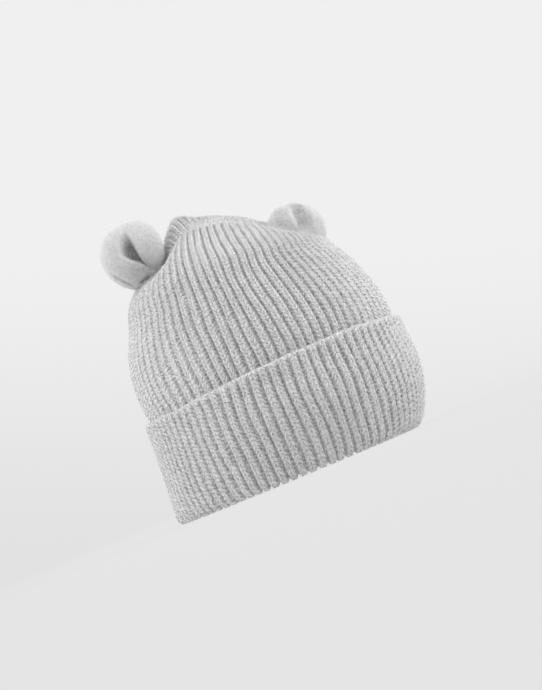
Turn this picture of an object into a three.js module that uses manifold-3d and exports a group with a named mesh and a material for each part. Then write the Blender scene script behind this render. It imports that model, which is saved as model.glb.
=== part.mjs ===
// A baby's beanie in chunky 1x1 rib knit, with a deep turned-up cuff and two small folded ears.
// Millimetres, +Z up. X runs from ear to ear, -Y is the front, and the fold of the rim stands on z = 0.
import * as THREE from "three";
import { mergeVertices } from "three/addons/utils/BufferGeometryUtils.js";
import Module from "manifold-3d";

const wasm = await Module();
wasm.setup();

// Driving sizes of the knitted tube and its closed top
const CROWN_WIDTH = 139;
const CROWN_DEPTH = 170;
const CROWN_TURN = THREE.MathUtils.degToRad(32);
const CROWN_HEIGHT = 153;
const CROWN_LEAN = 5;
const SHOULDER_HEIGHT = 113;
const KNIT_WALL = 3.5;
const RIB_PAIRS = 42;
const RIB_DEPTH = 1.8;
const SEAM_LEFT = 41;
const SEAM_RIGHT = 27;
const SEAM_SHIFT = 10;
const SEAM_GATHER = 0.76;
const SEAM_CROWDING = 6;
const SEAM_PEAK = -8;
const SEAM_DROP = 16;
const SEAM_VALLEY = 3.5;
const BACK_RISE = 9.5;
const PUFF_HEIGHT = 6;
const PUFF_PLACE = -15;
const PUFF_RADIUS = 9;
const PINCH_OUT = 8;
const PINCH_LEFT = 8;
const PINCH_RIGHT = 12;
const PINCH_WIDTH = 12;
const PINCH_LENGTH = 20;

// Driving sizes of the turned-up cuff
const CUFF_HEIGHT = 60.5;
const CUFF_WALL = 4;
const FOLD_HEIGHT = 8;
const FOLD_ROUND = 3;
const EDGE_SLOPE = 1.2;
const RIM_SETBACK = 12.5;
const RIM_TWIST = THREE.MathUtils.degToRad(6);

// Driving sizes of the ears, which stand on the shoulders of the crown
const EAR_WIDTH = 36;
const EAR_HEIGHT = 37;
const EAR_THICKNESS = 17;
const EAR_IN = 4;
const EAR_FORWARD = 4;
const EAR_SINK = 0;
const FLOP_IN = 2;
const FLOP_DOWN = 6;
const FLOP_BACK = 11;
const HOLLOW_WIDTH = 9;
const HOLLOW_HEIGHT = 21;
const EAR_SIDES = 24;

// Clear gap between pieces that touch
const GAP = 0.3;

const UP = new THREE.Vector3(0, 0, 1);

// The tube inside the cuff, from the rim up: height as a share of the cuff's, girth as a share of the crown's
// widest, and setback as the share of the rim's, which its twist follows.
const CUFF_SECTIONS = [
  { height: 0.0, girth: 0.922, setback: 1.0 },
  { height: 0.15, girth: 0.95, setback: 0.6 },
  { height: 0.33, girth: 0.972, setback: 0.25 },
  { height: 0.6, girth: 0.984, setback: 0.0 },
  { height: 0.92, girth: 0.972, setback: 0.0 },
];

// The tube above the cuff, up to the shoulder: height as a share of the way from cuff edge to shoulder, and
// lean as the share of the crown's lean towards the back.
const TUBE_SECTIONS = [
  { height: 0.0, girth: 0.975, lean: 0.0 },
  { height: 0.14, girth: 0.985, lean: 0.1 },
  { height: 0.32, girth: 0.98, lean: 0.3 },
  { height: 0.54, girth: 0.955, lean: 0.6 },
  { height: 0.77, girth: 0.905, lean: 0.85 },
  { height: 1.0, girth: 0.83, lean: 1.0 },
];

// The dome above the shoulder: rise as a share of the way up to the seam, reach and sweep as the shares left of
// the way in to it along the seam and across it, valley as the share of the seam valley's depth, puff as the
// share of the back panel's swell.
const DOME_SECTIONS = [
  { rise: 0.22, reach: 0.93, sweep: 0.93, valley: 0, puff: 0, ribs: true },
  { rise: 0.43, reach: 0.8, sweep: 0.79, valley: 0, puff: 0.2, ribs: true },
  { rise: 0.63, reach: 0.62, sweep: 0.6, valley: 0, puff: 0.5, ribs: true },
  { rise: 0.81, reach: 0.41, sweep: 0.38, valley: 0, puff: 0.9, ribs: true },
  { rise: 0.95, reach: 0.2, sweep: 0.17, valley: 0, puff: 1.0, ribs: true },
  { rise: 1.0, reach: 0.09, sweep: 0.07, valley: 0.25, puff: 0.6, ribs: false },
  { rise: 1.0, reach: 0.0, sweep: 0.0, valley: 1.0, puff: 0.0, ribs: false },
];

// An ear from the middle of its back round to the bottom of its hollow: outline and hollow are shares of the
// two outlines, depth is the share of half the ear's thickness.
const EAR_SECTIONS = [
  { outline: 0.5, hollow: 0, depth: 0.9 },
  { outline: 0.84, hollow: 0, depth: 0.6 },
  { outline: 1.0, hollow: 0, depth: 0.05 },
  { outline: 0.95, hollow: 0, depth: -0.5 },
  { outline: 0.72, hollow: 0.25, depth: -0.92 },
  { outline: 0.42, hollow: 0.5, depth: -1.0 },
  { outline: 0.14, hollow: 0.8, depth: -0.75 },
  { outline: 0.0, hollow: 0.9, depth: -0.2 },
];
const EAR_SEAT = DOME_SECTIONS[2];
const EAR_BACK_DEPTH = 1.0;
const HOLLOW_FLOOR_DEPTH = 0.3;
const HOLLOW_DROP = 0.08;

const HEATHER_GREY = new THREE.MeshStandardMaterial({ color: 0xc9c9c9, roughness: 0.95, metalness: 0 });
const EAR_GREY = new THREE.MeshStandardMaterial({ color: 0xcccccc, roughness: 0.95, metalness: 0 });

const WELD = 1e-4;

// Triangles gathered as points, then closed into one geometry
class Shell {
  points = [];

  quad(a, b, c, d) {
    this.triangle(a, b, c);
    this.triangle(a, c, d);
  }

  triangle(a, b, c) {
    if (a.equals(b) || b.equals(c) || c.equals(a)) return;
    this.points.push(a, b, c);
  }

  // Joins two rings of points, the second one further along the surface. A ring may hold half as many.
  bridge(from, to) {
    const ratio = from.length / to.length;
    const count = Math.min(from.length, to.length);
    for (let i = 0; i < count; i++) {
      const next = (i + 1) % count;
      if (ratio === 1) this.quad(from[i], from[next], to[next], to[i]);
      else if (ratio > 1) this.fan(to[next], to[i], [2 * i, 2 * i + 1, 2 * i + 2], from);
      else this.fan(from[i], from[next], [2 * i + 2, 2 * i + 1, 2 * i], to);
    }
  }

  fan(first, last, steps, ring) {
    const [a, b, c] = steps.map((step) => ring[step % ring.length]);
    this.triangle(last, a, b);
    this.triangle(last, b, first);
    this.triangle(first, b, c);
  }

  cap(ring, centre) {
    ring.forEach((point, i) => this.triangle(point, ring[(i + 1) % ring.length], centre));
  }

  geometry() {
    const made = new THREE.BufferGeometry().setFromPoints(this.points);
    return mergeVertices(made, WELD);
  }
}

// Height, girth, shift towards the back and twist of the tube at each table row
const tubeRows = [
  ...CUFF_SECTIONS.map(({ height, girth, setback }) => ({
    z: height * CUFF_HEIGHT,
    girth,
    back: setback * RIM_SETBACK,
    twist: setback * RIM_TWIST,
  })),
  ...TUBE_SECTIONS.map(({ height, girth, lean }) => ({
    z: THREE.MathUtils.lerp(CUFF_HEIGHT, SHOULDER_HEIGHT, height),
    girth,
    back: lean * CROWN_LEAN,
    twist: 0,
  })),
];

function tubeAt(z) {
  const last = tubeRows.length - 1;
  const found = tubeRows.findIndex((row) => row.z >= z);
  const upper = THREE.MathUtils.clamp(found < 0 ? last : found, 1, last);
  const [low, high] = [tubeRows[upper - 1], tubeRows[upper]];
  const share = THREE.MathUtils.clamp((z - low.z) / (high.z - low.z), 0, 1);
  return {
    girth: THREE.MathUtils.lerp(low.girth, high.girth, share),
    back: THREE.MathUtils.lerp(low.back, high.back, share),
    twist: THREE.MathUtils.lerp(low.twist, high.twist, share),
  };
}

// A point of the tube at one angle and height, out from the crown's rib crests by offset. The tube stands open
// as an oval, which is turned from the front by the crown's turn.
function tubePoint(angle, z, offset) {
  const { girth, back, twist } = tubeAt(z);
  const round = angle + twist - CROWN_TURN;
  const x = ((CROWN_WIDTH / 2) * girth + offset) * Math.cos(round);
  const y = ((CROWN_DEPTH / 2) * girth + offset) * Math.sin(round);
  return new THREE.Vector3(x, y + back, z).applyAxisAngle(UP, CROWN_TURN);
}

// Where a rib meets the seam: straight above its foot in the middle, and crowded at the seam's ends
function seamPlace(angle, offset) {
  const along = SEAM_SHIFT + SEAM_GATHER * (CROWN_WIDTH / 2) * Math.cos(angle);
  const end = (along > 0 ? SEAM_LEFT : SEAM_RIGHT) + Math.min(offset, 0);
  return along / (1 + Math.abs(along / end) ** SEAM_CROWDING) ** (1 / SEAM_CROWDING);
}

// A point of the dome at one angle and table row. It closes on the seam, an arched line from ear to ear, and
// the back panel stands higher there than the front.
function domePoint(angle, row, offset) {
  const foot = tubePoint(angle, SHOULDER_HEIGHT, offset);
  const seamX = seamPlace(angle, offset);
  const seamY = CROWN_LEAN * Math.cos(CROWN_TURN);
  const fromPeak = (seamX - SEAM_PEAK) / SEAM_LEFT;
  const seamZ = CROWN_HEIGHT + offset - SEAM_DROP * fromPeak ** 2;
  const x = THREE.MathUtils.lerp(seamX, foot.x, row.reach);
  const y = THREE.MathUtils.lerp(seamY, foot.y, row.sweep);
  const z = THREE.MathUtils.lerp(SHOULDER_HEIGHT, seamZ, row.rise);
  const lift = BACK_RISE + PUFF_HEIGHT * swell(x - PUFF_PLACE, PUFF_RADIUS);
  const puff = row.puff * Math.max(Math.sin(angle), 0) * lift;
  const pinchX = x > 0 ? SEAM_LEFT + PINCH_OUT : -SEAM_RIGHT - PINCH_OUT;
  const pinchDepth = x > 0 ? PINCH_LEFT : PINCH_RIGHT;
  const pinch = pinchDepth * swell(x - pinchX, PINCH_WIDTH) * swell(y - seamY, PINCH_LENGTH);
  return new THREE.Vector3(x, y, z + puff - pinch - row.valley * SEAM_VALLEY);
}

// One at its middle, and fading out over about twice its radius
function swell(distance, radius) {
  return Math.exp(-((distance / radius) ** 2));
}

// One ring of points. A ribbed ring has a crest and a groove for each rib, a plain one a crest alone.
function ring(count, pointAt) {
  return Array.from({ length: count }, (_, i) => pointAt((2 * Math.PI * i) / count, i));
}

function ribbed(pointAt, depth = RIB_DEPTH) {
  return ring(4 * RIB_PAIRS, (angle, i) => pointAt(angle, i % 2 ? -depth : 0));
}

function plain(pointAt) {
  return ring(2 * RIB_PAIRS, (angle) => pointAt(angle));
}

function coarse(pointAt) {
  return ring(RIB_PAIRS, (angle) => pointAt(angle));
}

const FOLD_TOP = FOLD_HEIGHT + GAP;
const hiddenRows = tubeRows.filter((row) => row.z > FOLD_TOP && row.z < CUFF_HEIGHT);
const shownRows = tubeRows.filter((row) => row.z >= CUFF_HEIGHT);
const foldRows = tubeRows.filter((row) => row.z > FOLD_HEIGHT && row.z < CUFF_HEIGHT);

function crownOuterRings() {
  const hidden = [{ z: FOLD_TOP }, ...hiddenRows];
  return [
    ...hidden.map(({ z }) => plain((angle) => tubePoint(angle, z, 0))),
    ...shownRows.map(({ z }) => ribbed((angle, groove) => tubePoint(angle, z, groove))),
    ...DOME_SECTIONS.map((row) => {
      const depth = RIB_DEPTH * Math.sqrt(row.reach);
      if (row.ribs) return ribbed((angle, groove) => domePoint(angle, row, groove), depth);
      return plain((angle) => domePoint(angle, row, 0));
    }),
  ];
}

function crownInnerRings() {
  const heights = [FOLD_TOP, ...hiddenRows.map((row) => row.z), ...shownRows.map((row) => row.z)];
  return [
    ...heights.map((z) => coarse((angle) => tubePoint(angle, z, -KNIT_WALL))),
    ...DOME_SECTIONS.map((row) => coarse((angle) => domePoint(angle, row, -KNIT_WALL))),
  ];
}

function crownGeometry() {
  const shell = new Shell();
  const loop = [...crownInnerRings().reverse(), ...crownOuterRings()];
  loop.slice(1).forEach((next, i) => shell.bridge(loop[i], next));
  return shell.geometry();
}

// The cuff's section runs round the fold from the channel that the crown stands in
function cuffGeometry() {
  const inner = -KNIT_WALL;
  const outer = GAP + CUFF_WALL;
  const at = (z, offset) => plain((angle) => tubePoint(angle, z, offset));
  const ribs = (z, offset) => ribbed((angle, groove) => tubePoint(angle, z, offset + groove));
  const rings = [
    at(CUFF_HEIGHT, GAP),
    ...foldRows.map((row) => row.z).reverse().map((z) => at(z, GAP)),
    at(FOLD_HEIGHT, GAP),
    at(FOLD_HEIGHT, inner),
    at(FOLD_ROUND, inner),
    at(0, inner + FOLD_ROUND / 2),
    ribs(0, outer - FOLD_ROUND / 2),
    ribs(FOLD_ROUND, outer),
    ribs(FOLD_HEIGHT, outer),
    ...foldRows.map((row) => ribs(row.z, outer)),
    ribs(CUFF_HEIGHT - EDGE_SLOPE, outer),
  ];
  const shell = new Shell();
  rings.forEach((from, i) => shell.bridge(from, rings[(i + 1) % rings.length]));
  return shell.geometry();
}

function solidOf(geometry) {
  return new wasm.Manifold(
    new wasm.Mesh({
      numProp: 3,
      vertProperties: geometry.attributes.position.array,
      triVerts: new Uint32Array(geometry.index.array),
    }),
  );
}

function geometryOf(solid) {
  const mesh = solid.getMesh();
  const made = new THREE.BufferGeometry();
  made.setAttribute("position", new THREE.BufferAttribute(mesh.vertProperties, mesh.numProp));
  made.setIndex(new THREE.BufferAttribute(mesh.triVerts, 1));
  return made;
}

// The space that the crown takes up with the ears' gap round it, solid right through
function crownSpace() {
  const rings = [
    ...shownRows.map(({ z }) => plain((angle) => tubePoint(angle, z, GAP))),
    ...DOME_SECTIONS.map((row) => plain((angle) => domePoint(angle, row, GAP))),
  ];
  const shell = new Shell();
  shell.cap([...rings[0]].reverse(), new THREE.Vector3(0, 0, CUFF_HEIGHT));
  rings.slice(1).forEach((next, i) => shell.bridge(rings[i], next));
  return solidOf(shell.geometry());
}

// An ear facing -Y about its own middle, before it is set on the crown
function earGeometry() {
  const half = EAR_THICKNESS / 2;
  const hollowZ = -HOLLOW_DROP * EAR_HEIGHT;
  const rings = EAR_SECTIONS.map(({ outline, hollow, depth }) =>
    ring(EAR_SIDES, (angle) => {
      const x = (outline * EAR_WIDTH + hollow * HOLLOW_WIDTH) / 2;
      const z = (outline * EAR_HEIGHT + hollow * HOLLOW_HEIGHT) / 2;
      return new THREE.Vector3(
        x * Math.cos(angle),
        depth * half,
        z * Math.sin(angle) + hollow * hollowZ,
      );
    }),
  );
  const shell = new Shell();
  const back = new THREE.Vector3(0, EAR_BACK_DEPTH * half, 0);
  const floor = new THREE.Vector3(0, HOLLOW_FLOOR_DEPTH * half, hollowZ);
  shell.cap([...rings[0]].reverse(), back);
  rings.slice(1).forEach((next, i) => shell.bridge(rings[i], next));
  shell.cap(rings[rings.length - 1], floor);
  return shell.geometry();
}

// An ear stands over its seat on the shoulder, and what would lie inside the crown is cut away
function ear(name, angle, flop, space) {
  const side = Math.cos(angle);
  const seat = domePoint(angle, EAR_SEAT, 0);
  const placed = earGeometry().translate(
    seat.x - side * (EAR_IN + flop * FLOP_IN),
    seat.y - EAR_FORWARD + flop * FLOP_BACK,
    seat.z - EAR_SINK + EAR_HEIGHT / 2 - flop * FLOP_DOWN,
  );
  const mesh = new THREE.Mesh(geometryOf(solidOf(placed).subtract(space)), EAR_GREY);
  mesh.name = name;
  return mesh;
}

const crown = new THREE.Mesh(crownGeometry(), HEATHER_GREY);
crown.name = "crown";
const cuff = new THREE.Mesh(cuffGeometry(), HEATHER_GREY);
cuff.name = "cuff";
const space = crownSpace();
const pieces = new THREE.Group();
pieces.add(
  crown,
  cuff,
  ear("ear_left", 0, 1, space),
  ear("ear_right", Math.PI, 0, space),
);

// The origin lies on the floor under the middle of the whole hat
const middle = new THREE.Box3().setFromObject(pieces).getCenter(new THREE.Vector3());
pieces.position.set(-middle.x, -middle.y, 0);
const hat = new THREE.Group();
hat.add(pieces);

export default hat;
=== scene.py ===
"""A baby's beanie in chunky 1x1 rib knit of pale heather-grey yarn, with a deep turned-up cuff, a crown that
closes in a seam from ear to ear, and two small folded jersey ears. Metres, +Z up, the wearer faces -Y."""
import math

import bpy
import numpy as np
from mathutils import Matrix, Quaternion, Vector
from mathutils.bvhtree import BVHTree


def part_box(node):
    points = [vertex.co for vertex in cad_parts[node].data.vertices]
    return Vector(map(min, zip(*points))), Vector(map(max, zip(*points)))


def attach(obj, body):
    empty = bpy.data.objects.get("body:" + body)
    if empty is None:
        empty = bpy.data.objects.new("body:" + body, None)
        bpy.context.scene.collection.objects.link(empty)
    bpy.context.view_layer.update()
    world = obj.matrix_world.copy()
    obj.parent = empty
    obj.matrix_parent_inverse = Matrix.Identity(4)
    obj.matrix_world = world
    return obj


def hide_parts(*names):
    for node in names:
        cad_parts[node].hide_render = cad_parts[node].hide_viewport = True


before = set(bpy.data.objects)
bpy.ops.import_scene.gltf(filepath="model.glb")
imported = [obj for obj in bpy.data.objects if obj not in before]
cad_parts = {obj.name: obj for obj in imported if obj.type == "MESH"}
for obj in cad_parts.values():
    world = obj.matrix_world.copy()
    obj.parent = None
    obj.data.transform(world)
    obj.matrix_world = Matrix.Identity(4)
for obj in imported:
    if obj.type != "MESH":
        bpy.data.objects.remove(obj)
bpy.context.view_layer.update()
MM = 0.001

# Camera: it looks at the hat's front from just above the floor, a little from the wearer's right, and is
# rolled so that the hat leans to the left in the picture.
HAT_AXIS = Vector((0.9, -2.47, 0)) * MM
VIEW_TURN = math.radians(6)
VIEW_DISTANCE = 845 * MM
VIEW_HEIGHT = 12 * MM
VIEW_ROLL = math.radians(22.75)
VIEW_AIM = Vector((7.6, -3.1, 74.3)) * MM

view_ahead = Vector((math.sin(VIEW_TURN), math.cos(VIEW_TURN), 0))
view_right = Vector((math.cos(VIEW_TURN), -math.sin(VIEW_TURN), 0))
camera = bpy.data.objects.new("camera", bpy.data.cameras.new("camera"))
bpy.context.scene.collection.objects.link(camera)
camera.data.sensor_fit = "HORIZONTAL"
camera.data.sensor_width = 36
camera.data.lens = 99.6
camera.data.clip_start = 0.05
camera.location = HAT_AXIS - view_ahead * VIEW_DISTANCE + Vector((0, 0, VIEW_HEIGHT))
upright_view = (VIEW_AIM - camera.location).to_track_quat("-Z", "Y")
camera.rotation_euler = (upright_view @ Quaternion((0, 0, 1), -VIEW_ROLL)).to_euler()
bpy.context.scene.camera = camera
bpy.context.scene.view_settings.view_transform = "Standard"

# Floor: a pale seamless sweep that curves up far behind the hat on every side, so that no horizon shows.
FLOOR_SPAN = 9.0
FLOOR_FLAT = 1.5
FLOOR_RISE = 0.55
FLOOR_GREY = 0.05
LOW_GLOW = 0.70
HIGH_GLOW = 0.825
GLOW_START = -0.25
GLOW_END = 0.6
GLOW_DIRECTION = (math.sin(VIEW_ROLL), 0, math.cos(VIEW_ROLL))

bpy.ops.object.select_all(action="DESELECT")
bpy.ops.mesh.primitive_grid_add(x_subdivisions=120, y_subdivisions=120, size=FLOOR_SPAN)
floor = bpy.context.object
floor.name = "floor"
for corner in floor.data.vertices:
    corner.co.z = FLOOR_RISE * max(corner.co.xy.length - FLOOR_FLAT, 0) ** 2
bpy.ops.object.shade_smooth()
floor_paper = bpy.data.materials.new("floor_paper")
floor_paper.use_nodes = True
paper_nodes, paper_links = floor_paper.node_tree.nodes, floor_paper.node_tree.links
paper = paper_nodes["Principled BSDF"]
# Painted light: the floor's own colour is nearly black, and its pale tone is its own emission, which ramps from
# dimmer towards the bottom of the picture to brighter towards its top.
paper.inputs["Base Color"].default_value = (FLOOR_GREY, FLOOR_GREY, FLOOR_GREY, 1)
paper.inputs["Roughness"].default_value = 1.0
paper.inputs["Specular IOR Level"].default_value = 0.0
paper.inputs["Emission Strength"].default_value = 1.0
paper_place = paper_nodes.new("ShaderNodeVectorMath")
paper_place.operation = "DOT_PRODUCT"
paper_place.inputs[1].default_value = GLOW_DIRECTION
paper_glow = paper_nodes.new("ShaderNodeMapRange")
paper_glow.interpolation_type = "SMOOTHSTEP"
for socket, value in (
    ("From Min", GLOW_START),
    ("From Max", GLOW_END),
    ("To Min", LOW_GLOW),
    ("To Max", HIGH_GLOW),
):
    paper_glow.inputs[socket].default_value = value
paper_links.new(paper_nodes.new("ShaderNodeTexCoord").outputs["Object"], paper_place.inputs[0])
paper_links.new(paper_place.outputs["Value"], paper_glow.inputs["Value"])
paper_links.new(paper_glow.outputs["Result"], paper.inputs["Emission Color"])
floor.data.materials.append(floor_paper)

# Light: two wide soft boxes at the hat's sides, a weaker one overhead and a pale sky, so that the front
# is the darkest part and both outlines are bright.
LIGHTS = [
    {"name": "light_right", "right": 1.35, "ahead": -0.25, "up": 0.7, "size": 0.9, "watts": 12.0},
    {"name": "light_left", "right": -1.35, "ahead": -0.2, "up": 0.7, "size": 0.9, "watts": 10.0},
    {"name": "light_top", "right": 0.1, "ahead": 0.1, "up": 1.4, "size": 1.2, "watts": 4.5},
]
SKY_GREY = 0.74

for lamp in LIGHTS:
    light = bpy.data.lights.new(lamp["name"], "AREA")
    light.size = lamp["size"]
    light.energy = lamp["watts"]
    lamp_object = bpy.data.objects.new(lamp["name"], light)
    bpy.context.scene.collection.objects.link(lamp_object)
    spot = view_right * lamp["right"] + view_ahead * lamp["ahead"] + Vector((0, 0, lamp["up"]))
    lamp_object.location = HAT_AXIS + spot
    lamp_object.rotation_euler = (VIEW_AIM - lamp_object.location).to_track_quat("-Z", "Y").to_euler()
    lamp_object.visible_camera = False
sky = bpy.data.worlds.new("sky")
bpy.context.scene.world = sky
sky.use_nodes = True
sky.node_tree.nodes["Background"].inputs["Color"].default_value = (SKY_GREY, SKY_GREY, SKY_GREY, 1)
sky.node_tree.nodes["Background"].inputs["Strength"].default_value = 1.0

# Crown: one tube of chunky 1x1 rib, 84 ribs round, drawn in above the shoulder and closed on top by a
# seam from ear to ear. Every rib is a column of V stitches, and the purl columns between them sink into
# deep grooves.
CROWN_WIDTH = 139
CROWN_DEPTH = 170
CROWN_TURN = math.radians(32)
CROWN_HEIGHT = 153
CROWN_LEAN = 5
SHOULDER_HEIGHT = 113
KNIT_WALL = 3.5
RIBS = 84
COURSE = 2.56
SEAM_LEFT = 41
SEAM_RIGHT = 27
SEAM_SHIFT = 10
SEAM_GATHER = 0.76
SEAM_CROWDING = 6
SEAM_PEAK = -8
SEAM_DROP = 16
SEAM_VALLEY = 3.5
BACK_RISE = 9.5
PUFF_HEIGHT = 6
PUFF_PLACE = -15
PUFF_RADIUS = 9
PINCH_OUT = 8
PINCH_LEFT = 8
PINCH_RIGHT = 12
PINCH_WIDTH = 12
PINCH_LENGTH = 20
CUFF_HEIGHT = 60.5
RIM_SETBACK = 12.5
RIM_TWIST = math.radians(6)
FOLD_TOP = 8.3
# Inside the cuff: height as a share of the cuff's, girth as a share of the widest, share of the rim's
# setback
HIDDEN_ROWS = np.array([
    (0.0, 0.922, 1.0),
    (0.15, 0.95, 0.6),
    (0.33, 0.972, 0.25),
    (0.6, 0.984, 0.0),
    (0.92, 0.972, 0.0),
])
# Above the cuff: share of the way from its edge to the shoulder, girth, share of the crown's lean
SHOWN_ROWS = np.array([
    (0.0, 0.975, 0.0),
    (0.14, 0.985, 0.1),
    (0.32, 0.98, 0.3),
    (0.54, 0.955, 0.6),
    (0.77, 0.905, 0.85),
    (1.0, 0.83, 1.0),
])
# Both together in millimetres and radians: height, girth, shift towards the back, twist
TUBE_ROWS = np.concatenate([
    HIDDEN_ROWS[:, [0, 1, 2, 2]] * (CUFF_HEIGHT, 1, RIM_SETBACK, RIM_TWIST),
    SHOWN_ROWS[:, [0, 1, 2, 2]] * (SHOULDER_HEIGHT - CUFF_HEIGHT, 1, CROWN_LEAN, 0) + (CUFF_HEIGHT, 0, 0, 0),
])
# Rise to the seam, share left of the way in along it and across it, seam valley, swell of the back panel
DOME_ROWS = [
    (0.22, 0.93, 0.93, 0, 0),
    (0.43, 0.8, 0.79, 0, 0.2),
    (0.63, 0.62, 0.6, 0, 0.5),
    (0.81, 0.41, 0.38, 0, 0.9),
    (0.95, 0.2, 0.17, 0, 1.0),
    (1.0, 0.09, 0.07, 0.25, 0.6),
    (1.0, 0.0, 0.0, 1.0, 0.0),
]
CROWN_COLUMNS = 6
FULL_RIB = 2.8
EDGE_SHOWN = 2.5
CROWN_ROWS = 3
# Height of the knit across half a rib, from the middle of its V stitches to the bottom of the groove
RIB_SHARE = np.array([0.0, 0.17, 0.33, 0.5])
RIB_HEIGHT = np.array([-0.4, 0.0, -0.75, -2.1])
# Unevenness of the knit: slack of the tube and depth of the ribs inside in millimetres, sway of the ribs
# as a share of one, drift of the courses and step between the courses of neighbouring ribs as shares of a
# course
SLACK = 1.1
INNER_RELIEF = 0.9
CROWN_SWAY = 0.16
COURSE_DRIFT = 0.35
RIB_STEP = 0.6
CROWN_PHASE = -0.45
SEAM_FADE = 1.5
LEFT_FADE = 8
BACK_FADE = 5
VALLEY_START = 12
LEFT_OF_BUMP = 8
BEHIND_SEAM = 6
ARM_LEAN = 2.2
ARM_HEIGHT = 0.5
RIGHT_SPREAD = 0.2
LEFT_SPREAD = 0.15
SPREAD_ARC = 0.61


def smooth_rows(knots, rows, at):
    """Rows at the places `at`, on smooth curves through the given rows, which stand at the knots."""
    slopes = np.gradient(rows, knots, axis=0)
    low = np.clip(np.searchsorted(knots, at, side="right") - 1, 0, len(knots) - 2)
    fit = (-1,) + (1,) * (rows.ndim - 1)
    span = (knots[low + 1] - knots[low]).reshape(fit)
    share = ((at - knots[low]) / (knots[low + 1] - knots[low])).reshape(fit)
    ahead = share * share * (3 - 2 * share)
    leave = share * (1 - share) ** 2 * span
    arrive = share * share * (share - 1) * span
    return rows[low] * (1 - ahead) + rows[low + 1] * ahead + slopes[low] * leave + slopes[low + 1] * arrive


def wander(seed, turn, up, patches, length):
    """Smooth random numbers from -1 to 1, in patches round the hat and of one length up it."""
    spots = np.random.default_rng(seed).uniform(-1, 1, (int(up.max() / length) + 3, patches))
    x, y = turn % 1 * patches, np.maximum(up, 0) / length
    i, j = x.astype(int) % patches, y.astype(int)
    x, y = x - np.floor(x), y - np.floor(y)
    x, y = x * x * (3 - 2 * x), y * y * (3 - 2 * y)
    near = spots[j, i] * (1 - x) + spots[j, (i + 1) % patches] * x
    far = spots[j + 1, i] * (1 - x) + spots[j + 1, (i + 1) % patches] * x
    return near * (1 - y) + far * y


def tube_points(angle, height, offset):
    """Points of the tube, out from the crests of the crown's ribs by offset, all in millimetres."""
    angle, height, offset = np.broadcast_arrays(angle, height, offset)
    shape = smooth_rows(TUBE_ROWS[:, 0], TUBE_ROWS[:, 1:], height.ravel()).reshape(*height.shape, 3)
    girth, back, twist = shape[..., 0], shape[..., 1], shape[..., 2]
    slack = SLACK * wander(11, angle / math.tau, height, 9, 40) * np.minimum(height / 30, 1)
    across = (CROWN_WIDTH / 2 * girth + offset + slack) * np.cos(angle + twist - CROWN_TURN)
    along = (CROWN_DEPTH / 2 * girth + offset + slack) * np.sin(angle + twist - CROWN_TURN) + back
    x = across * math.cos(CROWN_TURN) - along * math.sin(CROWN_TURN)
    y = across * math.sin(CROWN_TURN) + along * math.cos(CROWN_TURN)
    return np.stack([x, y, height], -1)


def swell(distance, radius):
    return np.exp(-((distance / radius) ** 2))


def dome_points(angle, row):
    """Points of one row of the dome. The ribs keep their width in the middle and crowd at the seam's ends."""
    rise, reach, sweep, valley, puff = row
    foot = tube_points(angle, SHOULDER_HEIGHT, 0)
    along_seam = SEAM_SHIFT + SEAM_GATHER * CROWN_WIDTH / 2 * np.cos(angle)
    seam_end = np.where(along_seam > 0, SEAM_LEFT, SEAM_RIGHT)
    seam_x = along_seam / (1 + np.abs(along_seam / seam_end) ** SEAM_CROWDING) ** (1 / SEAM_CROWDING)
    seam_y = CROWN_LEAN * math.cos(CROWN_TURN)
    seam_z = CROWN_HEIGHT - SEAM_DROP * ((seam_x - SEAM_PEAK) / SEAM_LEFT) ** 2
    x = seam_x + (foot[..., 0] - seam_x) * reach
    y = seam_y + (foot[..., 1] - seam_y) * sweep
    z = SHOULDER_HEIGHT + (seam_z - SHOULDER_HEIGHT) * rise
    lift = BACK_RISE + PUFF_HEIGHT * swell(x - PUFF_PLACE, PUFF_RADIUS)
    z = z + puff * np.maximum(np.sin(angle), 0) * lift
    pinch_x = np.where(x > 0, SEAM_LEFT + PINCH_OUT, -SEAM_RIGHT - PINCH_OUT)
    pinch_depth = np.where(x > 0, PINCH_LEFT, PINCH_RIGHT)
    z = z - pinch_depth * swell(x - pinch_x, PINCH_WIDTH) * swell(y - seam_y, PINCH_LENGTH)
    return np.stack([x, y, z - valley * SEAM_VALLEY * np.clip(seam_x / VALLEY_START, 0.2, 1)], -1)


def outward(points):
    """Unit normals of a tube of points, rows by columns, whose first and last columns are the same."""
    ring = points[:, :-1]
    across = np.roll(ring, -1, 1) - np.roll(ring, 1, 1)
    normal = np.cross(across, np.gradient(ring, axis=0))
    normal /= np.maximum(np.linalg.norm(normal, axis=-1, keepdims=True), 1e-9)
    return np.concatenate([normal, normal[:, :1]], 1)


def stitch_relief(seed, rib, course, depth):
    """How far the knit stands out from the rib crests, in millimetres, at each rib and course count."""
    side = np.abs(rib % 1 - 0.5)
    lean = course - ARM_LEAN * side
    uneven = np.random.default_rng(seed).uniform(0.5, 1.5, (RIBS * 2, 128))
    each = uneven[(rib * 2).astype(int) % (RIBS * 2), np.floor(lean).astype(int) % 128]
    wave = np.cos(math.tau * lean)
    height = np.interp(side - 0.022 * wave * each, RIB_SHARE, RIB_HEIGHT)
    arm = ARM_HEIGHT * each * (0.5 + 0.5 * wave) * np.clip((0.46 - side) / 0.2, 0, 1)
    return (height + arm) * depth


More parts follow.
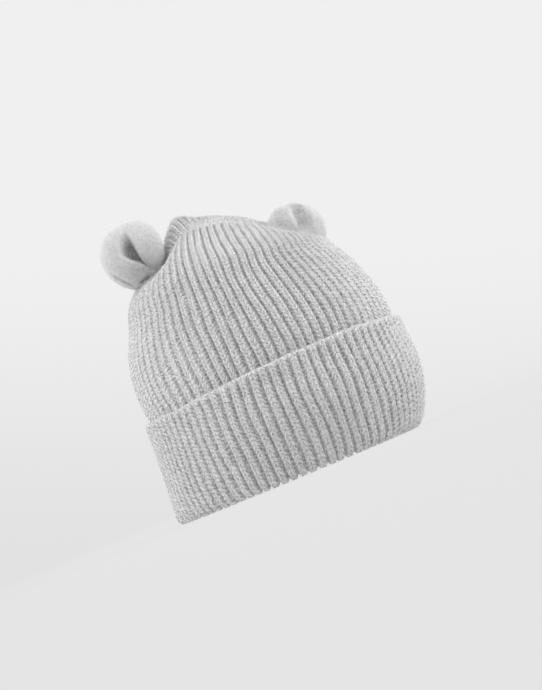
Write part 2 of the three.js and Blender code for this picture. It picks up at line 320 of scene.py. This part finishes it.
def knit_mesh(name, points, stitches, ribbing):
    """A closed mesh through rows by columns of points in millimetres. Its UV holds rib and course counts, and
    its attribute "ribbing" the share of the ribs' full depth."""
    rows, columns = points.shape[0] - 1, points.shape[1] - 1
    bpy.ops.object.select_all(action="DESELECT")
    bpy.ops.mesh.primitive_grid_add(x_subdivisions=columns, y_subdivisions=rows, size=2)
    knit = bpy.context.object
    knit.name = knit.data.name = name
    mesh = knit.data
    flat = np.empty(len(mesh.vertices) * 3)
    mesh.vertices.foreach_get("co", flat)
    flat = flat.reshape(-1, 3)
    column = np.rint((flat[:, 0] + 1) / 2 * columns).astype(int)
    row = np.rint((flat[:, 1] + 1) / 2 * rows).astype(int)
    placed = points[row, column] * MM + np.array(HAT_AXIS)
    mesh.vertices.foreach_set("co", placed.ravel())
    corners = np.empty(len(mesh.loops), np.int32)
    mesh.loops.foreach_get("vertex_index", corners)
    mesh.uv_layers.active.data.foreach_set("uv", stitches[row[corners], column[corners]].ravel())
    depth = mesh.attributes.new("ribbing", "FLOAT", "POINT")
    depth.data.foreach_set("value", ribbing[row, column])
    bpy.ops.object.mode_set(mode="EDIT")
    bpy.ops.mesh.select_all(action="SELECT")
    bpy.ops.mesh.remove_doubles(threshold=1e-6)
    bpy.ops.mesh.normals_make_consistent(inside=False)
    bpy.ops.object.mode_set(mode="OBJECT")
    bpy.ops.object.shade_smooth()
    return knit


crown_turn = np.arange(RIBS * CROWN_COLUMNS + 1) / (RIBS * CROWN_COLUMNS)
crown_angle = (crown_turn + CROWN_PHASE / RIBS) * math.tau
spread = LEFT_SPREAD * (swell(crown_angle, SPREAD_ARC) + swell(crown_angle - math.tau, SPREAD_ARC))
crown_angle = crown_angle + spread - RIGHT_SPREAD * swell(crown_angle - math.pi, SPREAD_ARC)
tube_heights = [FOLD_TOP, *TUBE_ROWS[3:, 0]]
stations = [tube_points(crown_angle, height, 0) for height in tube_heights]
stations += [dome_points(crown_angle, row) for row in DOME_ROWS]
stations = np.array(stations)
front = np.linalg.norm(np.diff(stations[:, RIBS * CROWN_COLUMNS * 3 // 4], axis=0), axis=-1)
station_way = np.concatenate([[0], np.cumsum(front)])
hidden_end = station_way[3]
courses_shown = int((station_way[-1] - hidden_end) / COURSE)
shown = np.linspace(hidden_end, station_way[-1], courses_shown * CROWN_ROWS + 1)
outer_way = np.concatenate([np.linspace(0, hidden_end, 6)[:-1], shown])
inner_way = np.linspace(0, station_way[-1], 20)


def crown_grid(way, sway):
    """Crest points of the crown at distances up its front, each rib swaying a little to either side."""
    grid = smooth_rows(station_way, stations, way)
    rib_step = np.roll(grid[:, :-1], -1, 1) - grid[:, :-1]
    rib_step = np.concatenate([rib_step, rib_step[:, :1]], 1) * CROWN_COLUMNS
    turn, up = np.broadcast_arrays(crown_turn, way[:, None])
    fade = np.clip((station_way[-1] - up) / 20, 0, 1)
    rib_middle = np.floor(turn * RIBS) / RIBS
    shift = sway * fade * (wander(5, turn, up, 20, 24) + 0.45 * wander(6, rib_middle, up, RIBS, 12))
    return grid + rib_step * shift[..., None]


def seam_free(way, points):
    """One on the open knit and none at the seam. The ribs end sooner on the back and the left of it."""
    left = np.clip(points[..., 0] / LEFT_OF_BUMP, 0, 1)
    fade = SEAM_FADE + LEFT_FADE * left + BACK_FADE * np.clip(points[..., 1] / BEHIND_SEAM, 0, 1)
    return np.clip((station_way[-1] - way[:, None]) / fade, 0, 1)


outer = crown_grid(outer_way, CROWN_SWAY)
outer_normal = outward(outer)
outer_normal[-1] = (0, 0, 1)
steps_up = np.linalg.norm(np.diff(outer, axis=0), axis=-1)
climbed = np.concatenate([[outer[0, :, 0] * 0], np.cumsum(steps_up, 0)])
rib_count, course_count = np.broadcast_arrays(crown_turn * RIBS, climbed / COURSE)
course_count = course_count + COURSE_DRIFT * wander(8, rib_count / RIBS, course_count * COURSE, 30, 30)
rib_middles = np.floor(rib_count) / RIBS
course_count = course_count + RIB_STEP * wander(9, rib_middles, course_count * COURSE, RIBS, 60)
rib_width = CROWN_COLUMNS * np.linalg.norm(np.diff(outer, axis=1), axis=-1)
rib_width = np.concatenate([rib_width, rib_width[:, :1]], 1)
open_knit = seam_free(outer_way, outer) * np.clip(rib_width / FULL_RIB, 0, 1)
relief = stitch_relief(3, rib_count, course_count, open_knit)
relief = relief * np.where(outer_way < hidden_end - EDGE_SHOWN, 0.5, 1)[:, None]
outer = outer + outer_normal * relief[..., None]
outer_stitches = np.stack([rib_count, course_count], -1)

inner = crown_grid(inner_way, 0.0)
inner_normal = outward(inner)
inner_normal[-1] = (0, 0, 1)
inner_ribs, inner_courses = np.broadcast_arrays(crown_turn * RIBS, inner_way[:, None] / COURSE)
side = np.abs(inner_ribs % 1 - 0.5)
inner_ribbing = INNER_RELIEF * np.cos(math.tau * side) * seam_free(inner_way, inner)
inner = inner - inner_normal * (KNIT_WALL + inner_ribbing)[..., None]
inner_stitches = np.stack([inner_ribs + 0.5, -inner_courses], -1)

crown = knit_mesh(
    "crown_knit",
    np.concatenate([inner[::-1], outer]),
    np.concatenate([inner_stitches[::-1], outer_stitches]),
    np.concatenate([np.ones(inner.shape[:2]), open_knit]),
)

RIB_KNIT_LIGHT = (0.9, 0.9, 0.9)
RIB_KNIT_DARK = (0.26, 0.26, 0.26)
STITCH_BUMP = 0.8 * MM
FIBRE_BUMP = 0.42 * MM


class Strand:
    """One socket of a yarn material's node tree. Sums on it add Math nodes, and node() adds any other."""

    def __init__(self, tree, socket=None):
        self.tree = tree
        self.socket = socket

    def node(self, kind, inputs=(), output=0, **settings):
        made = self.tree.nodes.new(kind)
        stops = settings.pop("stops", None)
        for name, value in settings.items():
            setattr(made, name, value)
        if stops:
            ramp = made.color_ramp.elements
            while len(ramp) < len(stops):
                ramp.new(0.5)
            for element, (place, grey) in zip(ramp, stops):
                element.position = place
                element.color = (grey, grey, grey, 1)
        for name, value in dict(inputs).items():
            if isinstance(value, Strand):
                self.tree.links.new(value.socket, made.inputs[name])
            else:
                made.inputs[name].default_value = value
        return Strand(self.tree, made.outputs[output])

    def beside(self, output):
        """Another output of the same node."""
        return Strand(self.tree, self.socket.node.outputs[output])

    def maths(self, operation, *values):
        return self.node("ShaderNodeMath", enumerate(values), operation=operation)

    def __add__(self, other):
        return self.maths("ADD", self, other)

    __radd__ = __add__

    def __sub__(self, other):
        return self.maths("SUBTRACT", self, other)

    def __rsub__(self, other):
        return self.maths("SUBTRACT", other, self)

    def __mul__(self, other):
        return self.maths("MULTIPLY", self, other)

    __rmul__ = __mul__

    def cosine(self):
        return self.maths("COSINE", self * math.tau)

    def between(self, low, high):
        """0 below low, 1 above high, smooth between."""
        return self.node(
            "ShaderNodeMapRange",
            {"Value": self, "From Min": low, "From Max": high},
            interpolation_type="SMOOTHSTEP",
        )

    def triple(self, x, y, z=0.0):
        return self.node("ShaderNodeCombineXYZ", {"X": x, "Y": y, "Z": z})


def yarn_material(name):
    """A new material and the start of its tree, with the matt sheen of soft acrylic yarn."""
    material = bpy.data.materials.new(name)
    material.use_nodes = True
    yarn = material.node_tree.nodes["Principled BSDF"]
    yarn.inputs["Specular IOR Level"].default_value = 0.22
    yarn.inputs["Sheen Weight"].default_value = 0.5
    yarn.inputs["Sheen Roughness"].default_value = 0.6
    return material, yarn, Strand(material.node_tree)


rib_knit, rib_shader, wool = yarn_material("heather_rib_knit")
even_ribs = wool.node("ShaderNodeSeparateXYZ", {"Vector": wool.node("ShaderNodeTexCoord", output="UV")})
even_courses = even_ribs.beside("Y")
stray = wool.node(
    "ShaderNodeTexNoise",
    {
        "Vector": wool.triple(even_ribs * 1.7, even_courses * 0.8),
        "Scale": 1.0,
        "Detail": 2.0,
        "Roughness": 0.7,
    },
    output="Color",
)
stray_across = wool.node("ShaderNodeSeparateColor", {"Color": stray})
ribs_round = even_ribs + (stray_across - 0.5) * 0.22
courses_up = even_courses + (stray_across.beside("Green") - 0.5) * 1.5
off_middle = ribs_round.maths("FRACT", ribs_round) - 0.5
side_of_rib = off_middle.maths("ABSOLUTE", off_middle)
lean_count = courses_up - side_of_rib * ARM_LEAN
arm_share = lean_count.maths("FRACT", lean_count) * 2 - 1
arm = 1 - arm_share * arm_share
ribbing = wool.node("ShaderNodeAttribute", output="Fac", attribute_name="ribbing")
in_groove = side_of_rib.between(0.19, 0.42) * ribbing
on_rib = 1 - in_groove
beside_middle = side_of_rib.between(-0.02, 0.12)
stitch = wool.node(
    "ShaderNodeTexWhiteNoise",
    {
        "Vector": wool.triple(
            ribs_round.maths("FLOOR", ribs_round * 2),
            lean_count.maths("FLOOR", lean_count),
        ),
    },
    noise_dimensions="2D",
)
strands = wool.node(
    "ShaderNodeTexNoise",
    {"Vector": wool.triple(ribs_round * 8, lean_count * 2.6), "Scale": 1.0, "Detail": 4.0, "Roughness": 0.7},
    noise_dimensions="2D",
)
flecks = wool.node(
    "ShaderNodeTexNoise",
    {"Vector": wool.triple(even_ribs * 7, even_courses * 3, 7.0), "Scale": 1.0, "Detail": 3.0, "Roughness": 0.6},
)
patches = wool.node(
    "ShaderNodeTexNoise",
    {"Vector": wool.node("ShaderNodeTexCoord", output="Object"), "Scale": 28.0, "Detail": 2.0},
)
rope = arm * on_rib
# Painted shade in the knit's tone: darker in the grooves, in the holes between the stitch arms and along the
# line between each stitch's two legs, lighter on the arms' crests. The strands, flecks, stitch and patch noises
# are the yarn's own heather marl.
painted_hole_shade = (1 - arm) * (1 - arm) * (1 - side_of_rib.between(0.12, 0.3))
shade = (
    0.9 * strands.between(0.3, 0.7)
    + 1.2 * flecks.between(0.36, 0.64)
    + 0.3 * stitch
    + 0.3 * patches
    + 0.6 * arm
    + 0.45 * beside_middle
    - 0.7 * painted_hole_shade
    - 1.2 * in_groove
    - 0.85
)
tint = wool.node(
    "ShaderNodeMix",
    {0: shade.between(-0.7, 1.6), 6: (*RIB_KNIT_DARK, 1), 7: (*RIB_KNIT_LIGHT, 1)},
    output=2,
    data_type="RGBA",
)
lift = rope * beside_middle * STITCH_BUMP + strands * FIBRE_BUMP + flecks * FIBRE_BUMP
relief_normal = wool.node("ShaderNodeBump", {"Height": lift, "Distance": 1.0, "Strength": 1.0})
wool.tree.links.new(tint.socket, rib_shader.inputs["Base Color"])
wool.tree.links.new((0.98 - 0.14 * strands).socket, rib_shader.inputs["Roughness"])
wool.tree.links.new(relief_normal.socket, rib_shader.inputs["Normal"])

crown.data.materials.append(rib_knit)
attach(crown, "root")
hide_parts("crown")

# Cuff: the lower third of the same tube turned up outside the crown, so that its stitches stand upside
# down. It rolls round the rim in a soft fold, which the hat stands on, and its upper edge is a row of
# rounded rib ends.
GAP = 0.3
CUFF_COLUMNS = 8
CUFF_ROWS = 4
CUFF_PHASE = 0.17
CUFF_SWAY = 0.14
EDGE_WAVE = 0.7
EDGE_DROOP = 2.4
EDGE_RISE = 0.9
# The cuff's section from the inside of the fold, round the rim, up the outside and over the edge into the
# channel: height, way out from the crown's rib crests, depth of the ribs
FOLD_PATH = np.array([
    (8.0, -3.5, 0.3),
    (5.0, -3.45, 0.5),
    (2.2, -2.7, 0.8),
    (0.7, -1.1, 1.0),
    (0.25, 0.6, 1.0),
    (0.6, 2.3, 1.0),
    (2.0, 3.6, 1.0),
    (4.5, 4.3, 1.0),
    (9.0, 4.3, 1.0),
    (20.0, 4.3, 1.0),
    (34.0, 4.3, 1.0),
    (CUFF_HEIGHT - 14, 4.3, 1.0),
    (CUFF_HEIGHT - 6, 4.3, 1.0),
    (CUFF_HEIGHT - 3, 4.25, 0.9),
    (CUFF_HEIGHT - 1.3, 3.9, 0.5),
    (CUFF_HEIGHT - 0.2, 2.8, 0.1),
    (CUFF_HEIGHT - 0.7, 1.2, 0.0),
    (CUFF_HEIGHT - 2.5, 0.4, 0.0),
])
CHANNEL_PATH = np.array([
    (CUFF_HEIGHT - 2.5, 0.4, 0.0),
    (46.0, 0.3, 0.0),
    (34.0, 0.3, 0.0),
    (20.0, 0.3, 0.0),
    (8.0, 0.3, 0.0),
    (8.0, -3.5, 0.3),
])

fold_way = np.concatenate([[0], np.cumsum(np.linalg.norm(np.diff(FOLD_PATH[:, :2], axis=0), axis=1))])
cuff_courses = int(fold_way[-1] / COURSE)
cuff_way = np.linspace(0, fold_way[-1], cuff_courses * CUFF_ROWS + 1)
cuff_section = np.concatenate([smooth_rows(fold_way, FOLD_PATH, cuff_way), CHANNEL_PATH[1:]])
cuff_turn = np.arange(RIBS * CUFF_COLUMNS + 1) / (RIBS * CUFF_COLUMNS)
channel_way = fold_way[-1] + np.arange(1, len(CHANNEL_PATH))
turn, up = np.broadcast_arrays(cuff_turn, np.concatenate([cuff_way, channel_way])[:, None])
rib_middle = np.floor(turn * RIBS) / RIBS
sway = CUFF_SWAY * (wander(15, turn, up, 24, 26) + 0.5 * wander(16, rib_middle, up, RIBS, 12))
shown = np.clip(cuff_section[:, 2:] * 4, 0, 1)
cuff_angle = (turn + (CUFF_PHASE + sway * shown) / RIBS) * math.tau
edge_wave = EDGE_WAVE * wander(21, turn, up * 0, 22, 40) * np.clip((cuff_section[:, :1] - 44) / 20, 0, 1)
cuff_points = tube_points(cuff_angle, cuff_section[:, :1], cuff_section[:, 1:2])
edge_lift = EDGE_RISE - EDGE_DROOP * np.clip((5 - cuff_points[..., 0]) / 45, 0, 1)
cuff_points[..., 2] += edge_wave + edge_lift * np.clip((cuff_section[:, :1] - 30) / 30, 0, 1)
cuff_points[-1] = cuff_points[0]
cuff_courses_up = up / COURSE + COURSE_DRIFT * wander(18, turn, up, 30, 30)
cuff_courses_up = cuff_courses_up + RIB_STEP * wander(19, rib_middle, up, RIBS, 60)
cuff_relief = stitch_relief(4, turn * RIBS, -cuff_courses_up, 1.0) * cuff_section[:, 2:]
cuff_points = cuff_points + outward(cuff_points) * cuff_relief[..., None]
cuff_points[..., 2] = np.maximum(cuff_points[..., 2], 0.02)
cuff_points[-1] = cuff_points[0]
cuff_stitches = np.stack([turn * RIBS, -cuff_courses_up], -1)
cuff = knit_mesh("cuff_knit", cuff_points, cuff_stitches, np.ones_like(turn) * cuff_section[:, 2:])
cuff.data.materials.append(rib_knit)
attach(cuff, "root")
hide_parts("cuff")

# Ears: each is a disc of fine jersey, doubled and folded forward at the edges, pinched at its foot and
# sewn into the end of the seam, so that a drop-shaped hollow faces forward, dark by its depth and by
# painted shade.
EAR_ROUND = 128
EAR_RINGS = 96
# Each ear's hollow in millimetres from the ear's middle, x towards the wearer's left and z up. Every side of
# it is a slope between two places, from the open ear to the full depth; the hollow's painted shade darkens
# its deepest part. A crease has two ends, a width, a depth and the darkness of its painted shade.
HOLLOWS = {
    "ear_right": {
        "square": 0.09,
        "near_x": (-8.0, -0.5),
        "near_lean": 0.22,
        "far_x": (3.4, 2.2),
        "far_lean": 0.14,
        "low_z": (-7.0, -2.6),
        "lobe_fall": 0.75,
        "high_z": (12.5, 2.5),
        "depth": 9.0,
        "painted_shade": 0.9,
        "creases": [
            ((-15.9, -6.5), (-6.5, -17.6), 0.8, 1.6, 0.2),
            ((-1.6, -17.6), (3.2, -16.0), 0.9, 2.0, 0.8),
            ((3.6, -6.5), (6.0, -12.5), 0.8, 1.2, 0.2),
        ],
    },
    "ear_left": {
        "square": -0.05,
        "near_x": (-1.6, 2.2),
        "near_lean": 0.0,
        "far_x": (11.0, 4.0),
        "far_lean": 0.0,
        "low_z": (-5.0, 3.0),
        "lobe_fall": 0.0,
        "high_z": (16.0, 8.0),
        "depth": 4.0,
        "painted_shade": 0.12,
        "creases": [((-7.5, 13.0), (-8.0, 5.0), 2.2, 0.8, 0.25)],
    },
}
EAR_PITCH = 1.45
FAN_REACH = 30
EAR_DROOP = 0.1
JERSEY_LIGHT = (0.85, 0.85, 0.85)
JERSEY_DARK = (0.12, 0.12, 0.12)

bpy.context.view_layer.update()
crown_surface = BVHTree.FromObject(crown, bpy.context.evaluated_depsgraph_get())


def slope(value, places):
    """0 at the first place, 1 at the second, smooth between."""
    share = np.clip((value - places[0]) / (places[1] - places[0]), 0, 1)
    return share * share * (3 - 2 * share)


def off_line(x, z, start, end):
    """Distance of points from the line between two places."""
    run = np.array(end) - start
    share = np.clip(((x - start[0]) * run[0] + (z - start[1]) * run[1]) / (run @ run), 0, 1)
    return np.hypot(x - start[0] - share * run[0], z - start[1] - share * run[1])


def ear_mesh(name, node):
    """A pillow in its CAD node's place, sunk in front to the ear's hollow and creases, whose painted shade goes
    into the attribute "hollow".
    """
    low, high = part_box(node)
    middle, half = np.array(low + high) / 2, np.array(high - low) / 2 / MM
    bpy.ops.object.select_all(action="DESELECT")
    bpy.ops.mesh.primitive_uv_sphere_add(segments=EAR_ROUND, ring_count=EAR_RINGS, radius=1)
    ear = bpy.context.object
    ear.name = ear.data.name = name
    mesh = ear.data
    ball = np.empty(len(mesh.vertices) * 3)
    mesh.vertices.foreach_get("co", ball)
    ball = ball.reshape(-1, 3)
    angle = np.arctan2(ball[:, 1], ball[:, 0])
    hollow = HOLLOWS[node]
    squared = 1 + hollow["square"] * np.maximum(np.sin(2 * angle), 0) * (ball[:, 0] > 0)
    x = ball[:, 0] * half[0] * squared
    z = ball[:, 1] * half[2] * squared * (1 + EAR_DROOP * np.maximum(-np.sin(angle), 0))
    y = half[1] * np.sign(ball[:, 2]) * np.abs(ball[:, 2]) ** 0.62
    facing = np.clip(-1.8 * ball[:, 2], 0, 1)
    near = slope(x - hollow["near_lean"] * z, hollow["near_x"])
    far = slope(x + hollow["far_lean"] * z, hollow["far_x"])
    lobe = slope(z + hollow["lobe_fall"] * x, hollow["low_z"])
    sunk = near * far * lobe * slope(z, hollow["high_z"]) * facing
    y = y + hollow["depth"] * sunk
    painted_shade = hollow["painted_shade"] * sunk ** 2
    for start, end, width, depth, crease_painted_shade in hollow["creases"]:
        crease = np.exp(-((off_line(x, z, start, end) / width) ** 2)) * facing
        y = y + depth * crease
        painted_shade = np.maximum(painted_shade, crease_painted_shade * crease)
    points = np.stack([x, y, z], -1) * MM + middle
    mesh.vertices.foreach_set("co", points.ravel())
    for vertex in mesh.vertices:
        above = Vector((vertex.co.x, vertex.co.y, high.z + 20 * MM))
        hit = crown_surface.ray_cast(above, Vector((0, 0, -1)))[0]
        if hit is not None and vertex.co.z < hit.z + GAP * MM:
            vertex.co.z = hit.z + GAP * MM
    # The attribute "hollow" holds the painted shade of the hollow and the creases.
    shadow = mesh.attributes.new("hollow", "FLOAT", "POINT")
    shadow.data.foreach_set("value", painted_shade)
    foot_x, foot_z = (5.0 if node == "ear_right" else -5.0), -half[2] * 0.62
    way = np.stack([x - foot_x, z - foot_z], -1)
    reach = np.hypot(way[:, 0], way[:, 1])
    fan = np.arctan2(way[:, 0], way[:, 1])
    jersey = np.stack([fan * FAN_REACH / EAR_PITCH, (reach + 0.35 * y) / EAR_PITCH], -1)
    corners = np.empty(len(mesh.loops), np.int32)
    mesh.loops.foreach_get("vertex_index", corners)
    mesh.uv_layers.active.data.foreach_set("uv", jersey[corners].ravel())
    bpy.ops.object.mode_set(mode="EDIT")
    bpy.ops.mesh.select_all(action="SELECT")
    bpy.ops.mesh.normals_make_consistent(inside=False)
    bpy.ops.object.mode_set(mode="OBJECT")
    bpy.ops.object.shade_smooth()
    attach(ear, "root")
    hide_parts(node)
    return ear


ear_right = ear_mesh("ear_right_jersey", "ear_right")
ear_left = ear_mesh("ear_left_jersey", "ear_left")

jersey_knit, jersey_shader, cotton = yarn_material("heather_jersey")
wales_round = cotton.node("ShaderNodeSeparateXYZ", {"Vector": cotton.node("ShaderNodeTexCoord", output="UV")})
rows_up = wales_round.beside("Y")
wale_share = wales_round.maths("FRACT", wales_round) - 0.5
side_of_wale = wale_share.maths("ABSOLUTE", wale_share)
row_lean = rows_up - side_of_wale * 1.6
leg = row_lean.cosine() * 0.5 + 0.5
wale = 1 - side_of_wale.between(0.25, 0.5)
fluff = cotton.node(
    "ShaderNodeTexNoise",
    {"Vector": cotton.triple(wales_round * 3, row_lean * 1.5), "Scale": 1.0, "Detail": 3.0, "Roughness": 0.6},
    noise_dimensions="2D",
)
cloud = cotton.node(
    "ShaderNodeTexNoise",
    {"Vector": cotton.node("ShaderNodeTexCoord", output="Object"), "Scale": 90.0, "Detail": 2.0},
)
grain = cotton.node(
    "ShaderNodeTexNoise",
    {"Vector": cotton.node("ShaderNodeTexCoord", output="Object"), "Scale": 850.0, "Detail": 3.0},
)
painted_hollow_shade = cotton.node("ShaderNodeAttribute", output="Fac", attribute_name="hollow")
# Painted shade in the ears' tone: much darker in the hollows and creases, darker between the wales and lighter
# along the stitch legs. The grain, fluff and cloud noises are the yarn's own heather marl.
shade = (
    1.1 * grain.between(0.35, 0.65)
    + 1.0 * fluff.between(0.3, 0.7)
    + 0.5 * cloud
    + 0.6 * leg
    - 0.6 * (1 - wale)
    - 2.0 * painted_hollow_shade
    - 0.25
)
tint = cotton.node(
    "ShaderNodeMix",
    {0: shade.between(-1.6, 1.5), 6: (*JERSEY_DARK, 1), 7: (*JERSEY_LIGHT, 1)},
    output=2,
    data_type="RGBA",
)
lift = leg * wale * (0.3 * MM) + fluff * (0.2 * MM) + grain * (0.5 * MM)
jersey_normal = cotton.node("ShaderNodeBump", {"Height": lift, "Distance": 1.0, "Strength": 1.0})
cotton.tree.links.new(tint.socket, jersey_shader.inputs["Base Color"])
cotton.tree.links.new((0.98 - 0.14 * fluff).socket, jersey_shader.inputs["Roughness"])
cotton.tree.links.new(jersey_normal.socket, jersey_shader.inputs["Normal"])
for ear in (ear_right, ear_left):
    ear.data.materials.append(jersey_knit)

# Stray fibres: the brushed yarn sheds fine pale hairs, which lie loosely over the knit and stand off its
# outline. Lengths, bows and the least height of a cuff fibre's root are in millimetres.
FIBRE_RADIUS = 0.055 * MM
FIBRE_LENGTHS = (1.8, 4.5)
FIBRE_LOW = 0.1
FIBRE_HIGH = 1.1
FIBRE_FLOOR = 3.5
FIBRE_GREY = (0.9, 0.9, 0.9)
CROWN_FIBRES = 13000
CUFF_FIBRES = 11000
EAR_FIBRES = 2500


def stray_fibres(name, points, normals, count, seed):
    """Thin bent spindles at random points of a knit, which are given in metres."""
    random = np.random.default_rng(seed)
    chosen = random.integers(0, len(points), count)
    root, out = points[chosen][:, None], normals[chosen][:, None]
    aim = random.normal(size=out.shape)
    aim = aim - out * (aim * out).sum(-1, keepdims=True)
    aim = aim / np.linalg.norm(aim, axis=-1, keepdims=True)
    length = random.uniform(*FIBRE_LENGTHS, (count, 1, 1)) * MM
    bow = (FIBRE_LOW + FIBRE_HIGH * random.uniform(0, 1, (count, 1, 1)) ** 2) * MM
    tilt = random.uniform(-0.3, 0.3, (count, 1, 1)) * length
    bpy.ops.object.select_all(action="DESELECT")
    bpy.ops.mesh.primitive_uv_sphere_add(segments=3, ring_count=3, radius=1)
    fibres = bpy.context.object
    fibres.name = fibres.data.name = name
    copies = fibres.modifiers.new("copies", "ARRAY")
    copies.use_relative_offset = False
    copies.count = count
    bpy.ops.object.modifier_apply(modifier="copies")
    spindles = np.empty(len(fibres.data.vertices) * 3)
    fibres.data.vertices.foreach_get("co", spindles)
    across, beside, along = np.split(spindles.reshape(count, -1, 3), 3, -1)
    middle = root + aim * length * along / 2 + out * (bow * (1 - along**2) + tilt * along)
    placed = middle + (out * across + np.cross(aim, out) * beside) * FIBRE_RADIUS
    fibres.data.vertices.foreach_set("co", placed.ravel())
    bpy.ops.object.shade_smooth()
    fibres.data.materials.append(fibre_wool)
    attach(fibres, "root")


fibre_wool, fibre_shader, fibre = yarn_material("stray_fibre")
fibre_shader.inputs["Base Color"].default_value = (*FIBRE_GREY, 1)
fibre_shader.inputs["Roughness"].default_value = 0.9
shown_rows = outer_way >= hidden_end
crown_spots = outer[shown_rows].reshape(-1, 3) * MM + np.array(HAT_AXIS)
crown_out = outer_normal[shown_rows].reshape(-1, 3)
stray_fibres("crown_fibres", crown_spots, crown_out, CROWN_FIBRES, 31)
cuff_shown = (cuff_points[..., 2] > FIBRE_FLOOR) & (np.arange(len(cuff_points))[:, None] < len(cuff_way))
cuff_shown = cuff_shown & (cuff_section[:, 1:2] > 0)
cuff_spots = cuff_points[cuff_shown] * MM + np.array(HAT_AXIS)
stray_fibres("cuff_fibres", cuff_spots, outward(cuff_points)[cuff_shown], CUFF_FIBRES, 32)
for ear, seed in ((ear_right, 33), (ear_left, 34)):
    spots, normals = np.empty((2, len(ear.data.vertices), 3))
    ear.data.vertices.foreach_get("co", spots.ravel())
    ear.data.vertices.foreach_get("normal", normals.ravel())
    stray_fibres(ear.name + "_fibres", spots, normals, EAR_FIBRES, seed)
